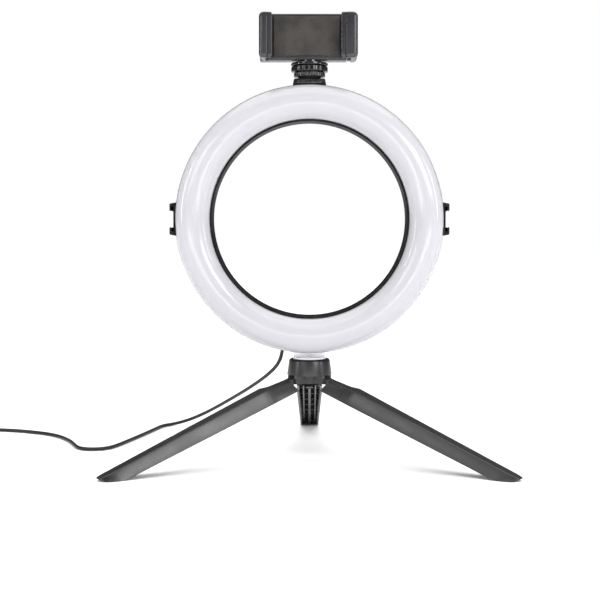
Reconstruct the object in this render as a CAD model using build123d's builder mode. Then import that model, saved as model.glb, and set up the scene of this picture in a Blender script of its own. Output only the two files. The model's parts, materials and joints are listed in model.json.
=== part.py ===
from build123d import *
import os
from math import cos, hypot, pi, radians, sin, tan

os.makedirs("parts", exist_ok=True)

# A ring light on a folding desktop tripod, with a phone clamp on its top shoe.
# X runs right, Y runs away from the user and Z runs up from the table. The tripod's axis is X = Y = 0.

# Ring head
ring_z = 181.3  # height of the ring's centre
ring_radius = 99.5
hole_radius = 72.0
ring_back = -3.0  # Y of the shell's flat back
seam_y = -20.0  # Y where the diffuser meets the shell
diffuser_depth = 11.0
shell_wall = 1.8

# Tilt hinge between neck and ring
tilt_y = 6.0
tilt_z = 88.5
tilt_radius = 6.0
neck_half_width = 12.35

# Accessory stack on the top shoe
stud_y = -11.5
stud_radius = 3.1
turning_gap = 0.08  # radial clearance of a shaft in its hole
shoe_height = 4.0

# Tripod
collar_bottom = 63.8
collar_top = 76.0
leg_count = 3
leg_slope = radians(20.8)
hinge_radius = 13.0
hinge_z = 60.8
leg_length = 166.5
leg_wall = 1.8
pin_radius = 1.2

# Lead
cord_radius = 1.4
coil_radius = 17.95  # middle of its turns
turn_step = 2.9  # from one turn to the next
total_lead = 1500.0

cut = Mode.SUBTRACT
hang = (Align.CENTER, Align.CENTER, Align.MAX)  # a shape below its place
stand = (Align.CENTER, Align.CENTER, Align.MIN)  # a shape above its place

pieces = {}
lead_pieces = []


def keep(piece, name, on_lead=False):
    """Files a finished piece under its name."""
    pieces[name] = piece
    if on_lead:
        lead_pieces.append(name)


def turned(outline, centre_y=0.0):
    """A round piece on a vertical axis, from its half outline of (radius, height) points."""
    with BuildPart(mode=Mode.PRIVATE) as piece:
        with BuildSketch(Plane.XZ):
            with BuildLine():
                Polyline(*outline, close=True)
            make_face()
        revolve(axis=Axis.Z)
    return Pos(0, centre_y, 0) * piece.part


def block(x, y, z):
    """A box between two values along each axis."""
    middle = [(low + high) / 2 for low, high in (x, y, z)]
    size = [high - low for low, high in (x, y, z)]
    return Pos(*middle) * Box(*size, mode=Mode.PRIVATE)


def rod(start, end, radius, end_radius=None):
    """A straight round bar, or a tapered one, between two points."""
    along = Vector(*end) - Vector(*start)
    plane = Plane(origin=start, z_dir=along)
    if end_radius is None:
        shape = Cylinder(radius, along.length, mode=Mode.PRIVATE)
    else:
        shape = Cone(radius, end_radius, along.length, mode=Mode.PRIVATE)
    return plane.location * Pos(0, 0, along.length / 2) * shape


ring_axis = Axis((0, 0, ring_z), (0, 1, 0))


def ring_plane(y):
    """Plane square to the ring's axis, looking away from the user."""
    return Plane(origin=(0, y, ring_z), x_dir=(1, 0, 0), z_dir=(0, 1, 0))


# ---- Tripod -------------------------------------------------------------------------------------

plug_radius = 12.35
plug_bottom = 72.9
spigot_radius = 6.0
spigot_bottom = 66.5
core_top = 66.2
core_bottom = 57.3
screw_head_top = 60.5
screw_head_radius = 5.5

with BuildPart() as hub_collar:
    add(turned([(0, collar_bottom), (17.0, collar_bottom), (15.25, collar_top), (0, collar_top)]))
    fillet(hub_collar.edges().sort_by(Axis.Z)[-1], radius=2.2)
    with Locations((0, 0, collar_top)):
        Cylinder(plug_radius + 0.4, collar_top - 72.0, align=hang, mode=cut)
    Cylinder(spigot_radius + turning_gap, 200, mode=cut)
    with Locations((0, 0, collar_bottom)):
        Cylinder(10.0, core_top - collar_bottom, align=stand, mode=cut)
keep(hub_collar, "hub_collar")

ear_inner = 4.3
ear_outer = 6.5
knuckle_radius = 2.6

ear_block = block((6.0, 15.3), (-ear_outer, ear_outer), (57.5, collar_bottom))
ear_slot = block((hinge_radius - knuckle_radius - 0.8, 18.0), (-ear_inner, ear_inner), (57.0, core_top))
pin_half = 6.2
hinge_pin = rod((hinge_radius, -pin_half, hinge_z), (hinge_radius, pin_half, hinge_z), pin_radius)

with BuildPart() as hub_core:
    add(turned([(0, core_bottom), (8.75, core_bottom), (11.5, collar_bottom), (10.0, collar_bottom),
                (10.0, core_top), (0, core_top)]))
    with PolarLocations(0, leg_count, start_angle=90):
        add(ear_block)
    with PolarLocations(0, leg_count, start_angle=90):
        add(ear_slot, mode=cut)
    with PolarLocations(0, leg_count, start_angle=90):
        add(hinge_pin, mode=cut)
    Cylinder(stud_radius, 200, mode=cut)
    with Locations((0, 0, core_bottom)):
        Cylinder(screw_head_radius + 0.1, screw_head_top - core_bottom, align=stand, mode=cut)
keep(hub_core, "hub_core")

with BuildPart() as leg_pins:
    with PolarLocations(0, leg_count, start_angle=90):
        add(hinge_pin)
keep(leg_pins, "leg_pins")

with BuildPart() as tripod_screw:
    add(turned([(0, core_bottom + 0.4), (screw_head_radius, core_bottom + 0.4),
                (screw_head_radius, screw_head_top), (stud_radius, screw_head_top),
                (stud_radius, 76.5), (stud_radius - 0.8, 77.3), (0, 77.3)]))
    with Locations((0, 0, core_bottom + 0.4)):
        Box(8.0, 1.4, 2.4, mode=cut)
keep(tripod_screw, "tripod_screw")

with BuildPart() as swivel_washer:
    add(turned([(6.6, 72.0), (11.8, 72.0), (11.8, 72.8), (6.6, 72.8)]))
keep(swivel_washer, "swivel_washer")

# A leg is an open channel that narrows to its tip. Each section is (reach, ridge height, half top width,
# edge height, half base width, corner rounding), measured from the hinge along the leg and square to it.
leg_sections = [
    (6.6, 1.9, 4.6, -6.8, 10.1, 2.4),
    (21.0, 2.75, 5.4, -6.9, 10.1, 2.4),
    (27.4, 3.9, 6.4, -6.95, 10.1, 1.0),
    (160.0, 0.5, 4.8, -7.9, 8.05, 1.0),
    (leg_length + 0.5, 0.3, 2.2, -7.9, 4.6, 1.0),
]
foot_reach = 150.0
boss_reach = 13.5


def leg_plane(reach):
    """Cross-section plane of the back leg, with its local Y towards the ridge."""
    along = Vector(0, cos(leg_slope), -sin(leg_slope))
    return Plane(origin=Vector(0, hinge_radius, hinge_z) + along * reach, x_dir=(-1, 0, 0), z_dir=along)


def channel_face(reach, ridge, half_top, edge, half_base, rounding):
    """The four-sided outline of the channel at one reach along the leg."""
    with BuildSketch(leg_plane(reach), mode=Mode.PRIVATE) as outline:
        with BuildLine():
            Polyline((-half_base, edge), (-half_top, ridge), (half_top, ridge), (half_base, edge),
                     close=True)
        make_face()
        if rounding:
            fillet(outline.vertices().group_by(Axis.Y)[-1], radius=rounding)
    return outline.sketch.face()


def hollow_face(reach, ridge, half_top, edge, half_base):
    """The inside of the channel at one reach: a wall thickness in, and open below the edge."""
    return channel_face(reach, ridge - leg_wall, half_top - 1.1, edge - 1.0, half_base - leg_wall, 0)


def in_leg(x, height, reach):
    """A box in the leg's own directions: across, square to the leg and along it."""
    return leg_plane(0).location * block(x, height, reach)


def leg_bar(radius, length, place):
    """A round bar put in its place in the leg's own directions."""
    return leg_plane(0).location * place * Cylinder(radius, length, mode=Mode.PRIVATE)


def between(reach):
    """The channel's sizes at a reach inside its long straight part."""
    first, last = leg_sections[2], leg_sections[3]
    share = (reach - first[0]) / (last[0] - first[0])
    return [a + (b - a) * share for a, b in zip(first, last)]


with BuildPart() as leg_hollow:
    hollows = [hollow_face(8.6, *leg_sections[0][1:5]), hollow_face(*leg_sections[1][:5]),
               hollow_face(*leg_sections[2][:5]), hollow_face(foot_reach, *between(foot_reach)[1:5])]
    for near, far in zip(hollows, hollows[1:]):
        loft(sections=[near, far], ruled=True)
    add(in_leg((-0.9, 0.9), (-5.2, 5.0), (0, foot_reach)), mode=cut)
    for side in (-4.7, 4.7):
        add(in_leg((side - 0.5, side + 0.5), (-3.4, 5.0), (0, foot_reach)), mode=cut)
    for station in range(1, 7):
        rib_reach = 10.0 + station * 20.0
        add(in_leg((-12.0, 12.0), (-2.4, 5.0), (rib_reach, rib_reach + 1.0)), mode=cut)
    add(leg_bar(2.8, 9.0, Pos(0, -2.0, boss_reach) * Rot(90, 0, 0)), mode=cut)

with BuildPart() as leg_blank:
    for first, second in zip(leg_sections, leg_sections[1:]):
        loft(sections=[channel_face(*first), channel_face(*second)], ruled=True)
    add(leg_hollow.part, mode=cut)
    add(leg_bar(1.2, 8.0, Pos(0, -4.0, boss_reach) * Rot(90, 0, 0)), mode=cut)
    add(in_leg((-4.0, 4.0), (-knuckle_radius, 1.9), (0.0, 8.0)))
    add(leg_bar(knuckle_radius, 8.0, Rot(0, 90, 0)))
    add(leg_bar(pin_radius + turning_gap, 9.0, Rot(0, 90, 0)), mode=cut)
    # The foot is cut flat where it stands.
    add(block((-40, 40), (-40, 220), (-40, 0)), mode=cut)
    add(in_leg((-40, 40), (-30, 30), (leg_length, leg_length + 20)), mode=cut)

for name, turn in (("leg_back", 0), ("leg_left", 120), ("leg_right", 240)):
    with BuildPart() as leg:
        add(leg_blank.part.rotate(Axis.Z, turn))
    keep(leg, name)

# ---- Neck ---------------------------------------------------------------------------------------

with BuildPart() as neck:
    add(turned([(0, plug_bottom), (plug_radius, plug_bottom), (plug_radius, 77.3), (0, 77.3)]))
    fillet(neck.edges().sort_by(Axis.Z)[-1], radius=0.8)
    add(block((-neck_half_width, neck_half_width), (tilt_y - 4.5, tilt_y + 4.5), (76.5, tilt_z)))
    add(rod((-neck_half_width, tilt_y, tilt_z), (neck_half_width, tilt_y, tilt_z), tilt_radius))
    add(turned([(0, spigot_bottom), (spigot_radius, spigot_bottom),
                (spigot_radius, plug_bottom + 1), (0, plug_bottom + 1)]))
    screw_hole = stud_radius + turning_gap
    add(turned([(0, spigot_bottom - 1), (screw_hole, spigot_bottom - 1), (screw_hole, 78.0), (0, 79.5)]),
        mode=cut)
    add(rod((-20, tilt_y, tilt_z), (20, tilt_y, tilt_z), 2.0 + turning_gap), mode=cut)
keep(neck, "neck")

# ---- Ring head ----------------------------------------------------------------------------------

diffuser_inner = 73.9
diffuser_outer = ring_radius - 0.2
crown_radius = (diffuser_inner + diffuser_outer) / 2
half_width = (diffuser_outer - diffuser_inner) / 2
diffuser_wall = 1.6

with BuildPart() as diffuser:
    with BuildSketch(Plane.XY.offset(ring_z)):
        with BuildLine():
            EllipticalCenterArc((crown_radius, seam_y), half_width, diffuser_depth, 180, arc_size=180)
            Line((diffuser_outer, seam_y), (diffuser_outer - diffuser_wall, seam_y))
            EllipticalCenterArc((crown_radius, seam_y), half_width - diffuser_wall,
                                diffuser_depth - diffuser_wall, 180, arc_size=180)
            Line((diffuser_inner, seam_y), (diffuser_inner + diffuser_wall, seam_y))
        make_face()
    revolve(axis=ring_axis)
keep(diffuser, "diffuser")

shell_inside = ring_radius - shell_wall
plate_front = ring_back - 2.0
screw_circle = 86.5
screw_count = 6

with BuildPart() as back_shell:
    with BuildSketch(Plane.XY.offset(ring_z)):
        with BuildLine():
            Polyline((ring_radius, seam_y), (ring_radius, ring_back - 4.0))
            RadiusArc((ring_radius, ring_back - 4.0), (ring_radius - 4.0, ring_back), -4.0)
            Polyline((ring_radius - 4.0, ring_back), (hole_radius + 1.5, ring_back))
            RadiusArc((hole_radius + 1.5, ring_back), (hole_radius - 0.1, ring_back - 1.5), -1.55)
            Polyline((hole_radius - 0.1, ring_back - 1.5), (hole_radius + 0.3, seam_y - 0.8),
                     (diffuser_inner - 0.02, seam_y - 0.8), (diffuser_inner - 0.02, plate_front),
                     (shell_inside, plate_front), (shell_inside, seam_y), (ring_radius, seam_y))
        make_face()
    revolve(axis=ring_axis)
    for side in (-1, 1):
        inner = side * (neck_half_width + 0.4)
        outer = side * (neck_half_width + 4.4)
        low, high = sorted((inner, outer))
        ear = block((low, high), (ring_back - 0.5, tilt_y), (tilt_z - tilt_radius, tilt_z + tilt_radius))
        add(ear)
        add(rod((low, tilt_y, tilt_z), (high, tilt_y, tilt_z), tilt_radius))
    add(rod((-20, tilt_y, tilt_z), (20, tilt_y, tilt_z), 2.0), mode=cut)
    with BuildSketch(Plane(origin=(-neck_half_width - 4.4, tilt_y, tilt_z), z_dir=(1, 0, 0))):
        RegularPolygon(3.6, 6, major_radius=False)
    extrude(amount=2.6, mode=cut)
    with BuildSketch(ring_plane(ring_back)):
        with PolarLocations(screw_circle, screw_count, start_angle=30):
            Circle(2.9)
    extrude(amount=-1.2, mode=cut)
    with BuildSketch(ring_plane(ring_back)):
        with PolarLocations(screw_circle, screw_count, start_angle=30):
            Circle(1.6)
    extrude(amount=-4.0, mode=cut)
keep(back_shell, "back_shell")

board_back = plate_front - 2.0
board_front = board_back - 1.6

with BuildPart() as led_board:
    with BuildSketch(ring_plane(board_back)):
        Circle(95.5)
        Circle(77.0, mode=cut)
        with PolarLocations(screw_circle, screw_count, start_angle=30):
            Circle(1.6, mode=cut)
    extrude(amount=-1.6)
keep(led_board, "led_board")

led_size = (3.5, 2.8)
led_height = 0.8
for name, circle_radius, offset_angle in (("leds_warm", 82.0, 0), ("leds_cool", 91.0, 180 / 32)):
    with BuildPart() as leds:
        with BuildSketch(ring_plane(board_front)):
            with PolarLocations(circle_radius, 32, start_angle=offset_angle):
                Rectangle(*led_size)
        extrude(amount=-led_height)
    keep(leds, name)

with BuildPart() as board_spacers:
    with BuildSketch(ring_plane(plate_front)):
        with PolarLocations(screw_circle, screw_count, start_angle=30):
            Circle(2.6)
            Circle(1.6, mode=cut)
    extrude(amount=-2.0)
keep(board_spacers, "board_spacers")

with BuildPart() as board_screws:
    with BuildSketch(ring_plane(ring_back - 1.2)):
        with PolarLocations(screw_circle, screw_count, start_angle=30):
            Circle(2.6)
    extrude(amount=0.9)
    with BuildSketch(ring_plane(ring_back - 1.2)):
        with PolarLocations(screw_circle, screw_count, start_angle=30):
            Circle(1.5)
    extrude(amount=-6.6)
    with BuildSketch(ring_plane(ring_back - 0.3)):
        with PolarLocations(screw_circle, screw_count, start_angle=30):
            Rectangle(3.0, 0.6)
            Rectangle(0.6, 3.0)
    extrude(amount=-0.5, mode=cut)
keep(board_screws, "board_screws")

with BuildPart() as tilt_screw:
    add(rod((-neck_half_width - 4.2, tilt_y, tilt_z), (neck_half_width + 4.4, tilt_y, tilt_z), 2.0))
    add(rod((neck_half_width + 4.4, tilt_y, tilt_z), (neck_half_width + 6.6, tilt_y, tilt_z), 3.8))
    add(block((neck_half_width + 6.0, neck_half_width + 7.0), (tilt_y - 0.5, tilt_y + 0.5),
              (tilt_z - 3.0, tilt_z + 3.0)), mode=cut)
keep(tilt_screw, "tilt_screw")

with BuildPart() as tilt_nut:
    with BuildSketch(Plane(origin=(-neck_half_width - 4.3, tilt_y, tilt_z), z_dir=(1, 0, 0))):
        RegularPolygon(3.5, 6, major_radius=False)
        Circle(2.0, mode=cut)
    extrude(amount=2.4)
keep(tilt_nut, "tilt_nut")

# The lead leaves the shell beside the tilt hinge, on the hinge's own axis as near as it can.
gland_root = (-20.6, ring_back, 92.5)
lead_exit = (-20.6, 9.0, 87.5)

with BuildPart() as cord_gland:
    add(rod(gland_root, lead_exit, 3.2, 2.1))
    add(block((-30, -10), (-20, ring_back), (80, 110)), mode=cut)
keep(cord_gland, "cord_gland", on_lead=True)

with BuildPart() as lead_wires:
    for side in (-1.0, 1.0):
        add(rod((-20.6 + side, plate_front, 96.0), (-20.6 + side, board_back, 96.0), 0.6))
keep(lead_wires, "lead_wires")

# A shoe takes a standard foot: an 18.6 slot under two lips with 12.5 between them, closed at the back.
shoe_length = 17.0
slot_half = 9.3
lip_gap_half = 6.25
floor_height = 1.0
slot_height = 2.0

with BuildPart() as shoe:
    base = Plane(origin=(0, ring_back, ring_z + ring_radius), x_dir=(1, 0, 0), z_dir=(0, -1, 0))
    with BuildSketch(base):
        with BuildLine():
            Polyline((-12.2, -1.4), (-11.3, shoe_height), (11.3, shoe_height), (12.2, -1.4), close=True)
        make_face()
    extrude(amount=shoe_length)
    fillet(shoe.edges().filter_by(Axis.Y).group_by(Axis.Z)[-1], radius=0.9)
    with BuildSketch(base.offset(1.5)):
        with Locations((0, floor_height + slot_height / 2)):
            Rectangle(2 * slot_half, slot_height)
        with Locations((0, floor_height + shoe_height / 2)):
            Rectangle(2 * lip_gap_half, shoe_height)
    extrude(amount=shoe_length, mode=cut)
    with BuildSketch(base):
        with Locations((0, floor_height + 2.0 + shoe_height / 2)):
            Rectangle(2 * lip_gap_half, shoe_height)
    extrude(amount=2.0, mode=cut)
    add(rod((0, -40, ring_z), (0, 20, ring_z), ring_radius + 0.01), mode=cut)

for name, turn in (("shoe_top", 0), ("shoe_left", -90), ("shoe_right", 90)):
    with BuildPart() as turned_shoe:
        add(shoe.part.rotate(ring_axis, turn))
    keep(turned_shoe, name)

# ---- Adapter on the top shoe --------------------------------------------------------------------

shoe_floor = ring_z + ring_radius + floor_height
foot_back = ring_back - 1.6
foot_top = shoe_floor + 1.85
lock_bottom = shoe_floor + 3.5
thumb_bottom = lock_bottom + 5.0
clamp_foot_bottom = thumb_bottom + 4.9
stud_top = clamp_foot_bottom + 9.5

with BuildPart() as adapter_foot:
    add(block((-9.15, 9.15), (foot_back - 15.5, foot_back), (shoe_floor + 0.05, foot_top)))
    add(block((-6.1, 6.1), (foot_back - 14.5, foot_back - 1.0), (foot_top, lock_bottom - 0.3)))
    add(rod((0, stud_y, shoe_floor), (0, stud_y, lock_bottom), stud_radius), mode=cut)
keep(adapter_foot, "adapter_foot")

with BuildPart() as adapter_stud:
    add(turned([(0, shoe_floor + 0.05), (stud_radius, shoe_floor + 0.05), (stud_radius, stud_top - 0.8),
                (stud_radius - 0.7, stud_top), (0, stud_top)], stud_y))
keep(adapter_stud, "adapter_stud")

wheel_bore = stud_radius + turning_gap

with BuildPart() as lock_wheel:
    add(turned([(wheel_bore, lock_bottom), (7.4, lock_bottom), (9.2, lock_bottom + 1.7),
                (11.6, lock_bottom + 1.7), (11.6, lock_bottom + 4.7),
                (wheel_bore, lock_bottom + 4.7)], stud_y))
    with Locations((0, stud_y, lock_bottom + 3.2)):
        with PolarLocations(12.1, 30):
            Cylinder(0.75, 3.4, mode=cut)
keep(lock_wheel, "lock_wheel")

with BuildPart() as thumb_wheel:
    add(turned([(wheel_bore, thumb_bottom), (12.9, thumb_bottom), (13.6, thumb_bottom + 0.7),
                (13.6, thumb_bottom + 3.8), (12.9, thumb_bottom + 4.5),
                (wheel_bore, thumb_bottom + 4.5)], stud_y))
    with Locations((0, stud_y, thumb_bottom + 2.25)):
        with PolarLocations(14.3, 20):
            Cylinder(1.3, 5.0, mode=cut)
keep(thumb_wheel, "thumb_wheel")

# ---- Phone clamp --------------------------------------------------------------------------------

clamp_left = -31.0
clamp_right = 27.6
clamp_bottom = clamp_foot_bottom + 3.7
clamp_top = 333.3
clamp_front = -17.0
cover_y = -7.0
clamp_back = -5.0
cavity_front = -13.4
cavity_z = (clamp_bottom + 7.4, clamp_top - 1.8)
jaw_front = -31.0
jaw_z = (clamp_bottom, clamp_top - 1.0)
insert_radius = 4.0
insert_top = clamp_bottom + 6.8

with BuildPart() as clamp_foot:
    add(turned([(insert_radius, clamp_foot_bottom), (13.7, clamp_foot_bottom),
                (13.7, clamp_foot_bottom + 2.0), (9.0, clamp_foot_bottom + 2.0),
                (9.0, clamp_bottom), (insert_radius, clamp_bottom)], stud_y))
keep(clamp_foot, "clamp_foot")

with BuildPart() as clamp_insert:
    add(turned([(wheel_bore, clamp_foot_bottom), (insert_radius, clamp_foot_bottom),
                (insert_radius, insert_top), (wheel_bore, insert_top)], stud_y))
keep(clamp_insert, "clamp_insert")

with BuildPart() as clamp_frame:
    add(block((clamp_left, clamp_right), (clamp_front, cover_y), (clamp_bottom, clamp_top)))
    fillet(clamp_frame.edges().filter_by(Axis.X).group_by(Axis.Y)[0], radius=1.5)
    add(block((clamp_left + 4.0, clamp_right + 1), (cavity_front, cover_y + 1), cavity_z), mode=cut)
    add(rod((0, stud_y, clamp_bottom - 1), (0, stud_y, insert_top), insert_radius), mode=cut)
    for x in (clamp_left + 2.0, clamp_right - 3.0):
        for z in (clamp_bottom + 3.0, clamp_top - 3.0):
            if z < cavity_z[0] or x < clamp_left + 4.0:
                add(rod((x, -12.5, z), (x, cover_y, z), 0.8), mode=cut)
keep(clamp_frame, "clamp_frame")

cover_screws = [(clamp_left + 2.0, clamp_bottom + 3.0), (clamp_left + 2.0, clamp_top - 3.0),
                (clamp_right - 3.0, clamp_bottom + 3.0)]

with BuildPart() as clamp_cover:
    add(block((clamp_left, clamp_right), (cover_y, clamp_back), (clamp_bottom, clamp_top)))
    fillet(clamp_cover.edges().filter_by(Axis.X).group_by(Axis.Y)[-1], radius=1.2)
    for x, z in cover_screws:
        add(rod((x, cover_y - 1, z), (x, clamp_back + 1, z), 0.8), mode=cut)
        add(rod((x, clamp_back - 1.0, z), (x, clamp_back + 1, z), 1.7), mode=cut)
keep(clamp_cover, "clamp_cover")

with BuildPart() as clamp_screws:
    for x, z in cover_screws:
        add(rod((x, -12.0, z), (x, clamp_back - 1.0, z), 0.8))
        add(rod((x, clamp_back - 1.0, z), (x, clamp_back - 0.2, z), 1.6))
keep(clamp_screws, "clamp_screws")

with BuildPart() as clamp_pad:
    add(block((clamp_left + 4.5, 22.6), (clamp_front - 1.2, clamp_front),
              (clamp_bottom + 3.0, clamp_top - 2.0)))
    fillet(clamp_pad.edges().filter_by(Axis.Y), radius=2.0)
keep(clamp_pad, "clamp_pad")

jaw_wall = 3.6
lip_depth = 3.0
jaw_left_side = -37.0
jaw_right_side = 35.4
facing = 1.4  # the rubber inside each jaw
facing_y = (jaw_front + lip_depth, clamp_front)
facing_z = (jaw_z[0] + 1.0, jaw_z[1] - 1.0)

with BuildPart() as jaw_left:
    add(block((jaw_left_side, jaw_left_side + jaw_wall), (jaw_front, clamp_back), jaw_z))
    add(block((jaw_left_side, -27.4), (jaw_front, jaw_front + lip_depth), jaw_z))
    add(block((jaw_left_side, clamp_left), (-13.0, clamp_back), jaw_z))
    fillet(jaw_left.edges().filter_by(Axis.Z).sort_by(Axis.X)[:2], radius=1.4)
keep(jaw_left, "jaw_left")

with BuildPart() as jaw_left_pad:
    add(block((jaw_left_side + jaw_wall, jaw_left_side + jaw_wall + facing), facing_y, facing_z))
keep(jaw_left_pad, "jaw_left_pad")

tongue_left = -16.0
tongue_z = (cavity_z[0] + 0.4, cavity_z[1] - 0.4)

with BuildPart() as jaw_right:
    add(block((jaw_right_side - jaw_wall, jaw_right_side), (jaw_front, clamp_back), jaw_z))
    add(block((23.3, jaw_right_side), (jaw_front, jaw_front + lip_depth), jaw_z))
    fillet(jaw_right.edges().filter_by(Axis.Z).sort_by(Axis.X)[-2:], radius=1.4)
    add(block((tongue_left, jaw_right_side - jaw_wall), (cavity_front + 0.4, cover_y - 0.4), tongue_z))
keep(jaw_right, "jaw_right")

with BuildPart() as jaw_right_pad:
    add(block((jaw_right_side - jaw_wall - facing, jaw_right_side - jaw_wall), facing_y, facing_z))
keep(jaw_right_pad, "jaw_right_pad")

with BuildPart() as clamp_springs:
    for z in (cavity_z[0] + 6.0, cavity_z[1] - 6.0):
        add(rod((clamp_left + 4.0, -10.2, z), (tongue_left, -10.2, z), 2.0))
        add(rod((clamp_left + 3.0, -10.2, z), (tongue_left + 1.0, -10.2, z), 1.5), mode=cut)
keep(clamp_springs, "clamp_springs")

# ---- Lead ---------------------------------------------------------------------------------------

floor_line = cord_radius + 0.05
control_x = -304.0
control_y = (15.0, 75.0)
control_line = 3.7
coil_outer_turn = coil_radius + 1.5 * turn_step
coil_centre = (control_x + coil_outer_turn, -22.0)
plug_x = coil_centre[0] + coil_outer_turn
plug_y = 8.0
plug_line = 4.2

lead_route = [
    lead_exit,
    (-20.6, 22.0, 82.0),
    (-23.5, 32.5, 69.0),
    (-33.0, 48.0, 57.5),
    (-50.0, 74.5, 43.0),
    (-68.0, 102.0, 29.5),
    (-85.0, 125.0, 17.5),
    (-98.0, 140.0, 9.6),
    (-108.5, 147.5, 4.6),
    (-120.5, 147.0, floor_line),
    (-129.5, 138.5, floor_line),
    (-133.5, 121.0, floor_line),
    (-141.0, 90.0, floor_line),
    (-149.0, 60.0, floor_line),
    (-153.5, 44.0, floor_line),
    (-157.5, 33.5, floor_line),
    (-164.9, 27.3, floor_line),
    (-174.6, 26.9, floor_line),
    (-182.5, 32.0, floor_line),
    (-188.0, 44.5, floor_line),
    (-197.0, 67.0, floor_line),
    (-215.0, 93.0, floor_line),
    (-246.0, 111.0, floor_line),
    (-276.0, 118.5, floor_line),
    (-293.0, 113.0, floor_line),
    (-302.0, 101.0, floor_line),
    (control_x, 88.0, 2.5),
    (control_x - 0.1, control_y[1], control_line),
]
tail_route = [
    (control_x, control_y[0], control_line),
    (control_x, control_y[0] - 10.0, 2.6),
    (control_x + 0.1, control_y[0] - 30.0, floor_line),
]
end_route = [
    (plug_x, -15.0, 4.4),
    (plug_x, -2.0, 3.6),
    (plug_x, plug_y, plug_line),
]
arc_share = 0.45


def bend_radii(route):
    """One radius for each corner, as large as its two runs allow."""
    points = [Vector(*point) for point in route]
    radii = []
    for before, here, after in zip(points, points[1:], points[2:]):
        turn = (here - before).get_angle(after - here)
        shorter = min((here - before).length, (after - here).length)
        radii.append(arc_share * shorter / tan(radians(turn) / 2))
    return radii


def cord_stretch(route):
    """A round cord along straight runs joined by tangent arcs, and its length."""
    with BuildPart(mode=Mode.PRIVATE) as stretch:
        with BuildLine() as path:
            FilletPolyline(*route, radius=bend_radii(route))
        start = Plane(origin=path.line @ 0, z_dir=path.line % 0)
        with BuildSketch(start):
            Circle(cord_radius)
        sweep()
    return stretch, sum(edge.length for edge in path.edges())


lead_lengths = {}
for name, route in (("cord_lead", lead_route), ("cord_tail", tail_route), ("cord_end", end_route)):
    stretch, length = cord_stretch(route)
    lead_lengths[name] = length
    keep(stretch, name, on_lead=True)
    section_length = stretch.part.volume / (pi * cord_radius**2)
    print(name, "length", round(length, 1), "by volume", round(section_length, 1),
          "radii", [round(radius, 1) for radius in bend_radii(route)])

coil_turns = 7.5
coil_width = 11.6  # four turns side by side
coil_height = 5.8  # in two layers
coil_floor = 0.8
tie_wall = 0.6
tie_clearance = 0.7
tie_strap = 7.0
with BuildPart() as cord_coil:
    with BuildSketch(Plane.XZ):
        with Locations((coil_radius, coil_floor + coil_height / 2)):
            RectangleRounded(coil_width, coil_height, cord_radius)
    revolve(axis=Axis.Z)
cord_coil.part = Pos(coil_centre[0], coil_centre[1], 0) * cord_coil.part
keep(cord_coil, "cord_coil", on_lead=True)

coil_length = coil_turns * 2 * pi * coil_radius
control_length = control_y[1] - control_y[0]
lead_length = sum(lead_lengths.values()) + coil_length + control_length
print("lead in all", round(lead_length, 1), "planned", total_lead)

with BuildPart() as coil_tie:
    tie_width = coil_width + 2 * tie_clearance
    tie_height = coil_height + 0.1
    tie_middle = (coil_centre[0] - tie_strap / 2, coil_centre[1] - coil_radius, coil_floor + coil_height / 2)
    with BuildSketch(Plane(origin=tie_middle, x_dir=(0, 1, 0), z_dir=(1, 0, 0))):
        RectangleRounded(tie_width + 2 * tie_wall, tie_height + 2 * tie_wall, 2.4)
        RectangleRounded(tie_width, tie_height, 1.8, mode=cut)
    extrude(amount=tie_strap)
keep(coil_tie, "coil_tie", on_lead=True)

control_half = 8.0
control_split = 4.6
control_top = 9.4
button_names = ("button_power", "button_bright", "button_dim", "button_colour")
button_step = 11.0
button_radius = 3.2


control_middle = (control_y[0] + control_y[1]) / 2


def button_y(number):
    """Distance of a button along the controller."""
    return control_middle + (1.5 - number) * button_step


def control_shell(low, high):
    """Half of the controller's rounded case between two heights."""
    with BuildPart(mode=Mode.PRIVATE) as half:
        with BuildSketch(Plane.XY.offset(low)):
            with Locations((control_x, control_middle)):
                RectangleRounded(2 * control_half, control_length, 5.0)
        extrude(amount=high - low)
    return half.part


def control_hollow(low, high):
    """The space inside the case between two heights."""
    return block((control_x - control_half + 1.5, control_x + control_half - 1.5),
                 (control_y[0] + 4.0, control_y[1] - 4.0), (low, high))


with BuildPart() as control_base:
    add(control_shell(0.1, control_split))
    add(control_hollow(1.5, control_split + 1), mode=cut)
keep(control_base, "control_base", on_lead=True)

with BuildPart() as control_cover:
    add(control_shell(control_split, control_top))
    fillet(control_cover.edges().group_by(Axis.Z)[-1], radius=1.2)
    add(control_hollow(control_split - 1, control_top - 1.4), mode=cut)
    for number in range(len(button_names)):
        y = button_y(number)
        add(rod((control_x, y, 5.0), (control_x, y, 12.0), button_radius + 0.3), mode=cut)
keep(control_cover, "control_cover", on_lead=True)

with BuildPart() as control_board:
    add(block((control_x - 6.2, control_x + 6.2), (control_y[0] + 4.5, control_y[1] - 4.5), (3.4, 4.4)))
    for number in range(len(button_names)):
        y = button_y(number)
        add(block((control_x - 1.5, control_x + 1.5), (y - 1.5, y + 1.5), (4.4, 5.6)))
keep(control_board, "control_board", on_lead=True)

for number, name in enumerate(button_names):
    with BuildPart() as button:
        y = button_y(number)
        add(rod((control_x, y, 6.5), (control_x, y, control_top + 0.8), button_radius))
        fillet(button.edges().sort_by(Axis.Z)[-1], radius=0.5)
    keep(button, name, on_lead=True)

# USB-A plug: a 12.0 by 4.5 metal shell 18.75 long on a moulded grip.
grip_length = 22.0
grip_end = plug_y + grip_length
with BuildPart() as usb_grip:
    with BuildSketch(Plane(origin=(plug_x, plug_y, plug_line), x_dir=(1, 0, 0), z_dir=(0, 1, 0))):
        RectangleRounded(15.0, 8.0, 2.4)
    extrude(amount=grip_length)
    chamfer(usb_grip.edges().group_by(Axis.Y)[0], length=1.0)
keep(usb_grip, "usb_grip", on_lead=True)

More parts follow.
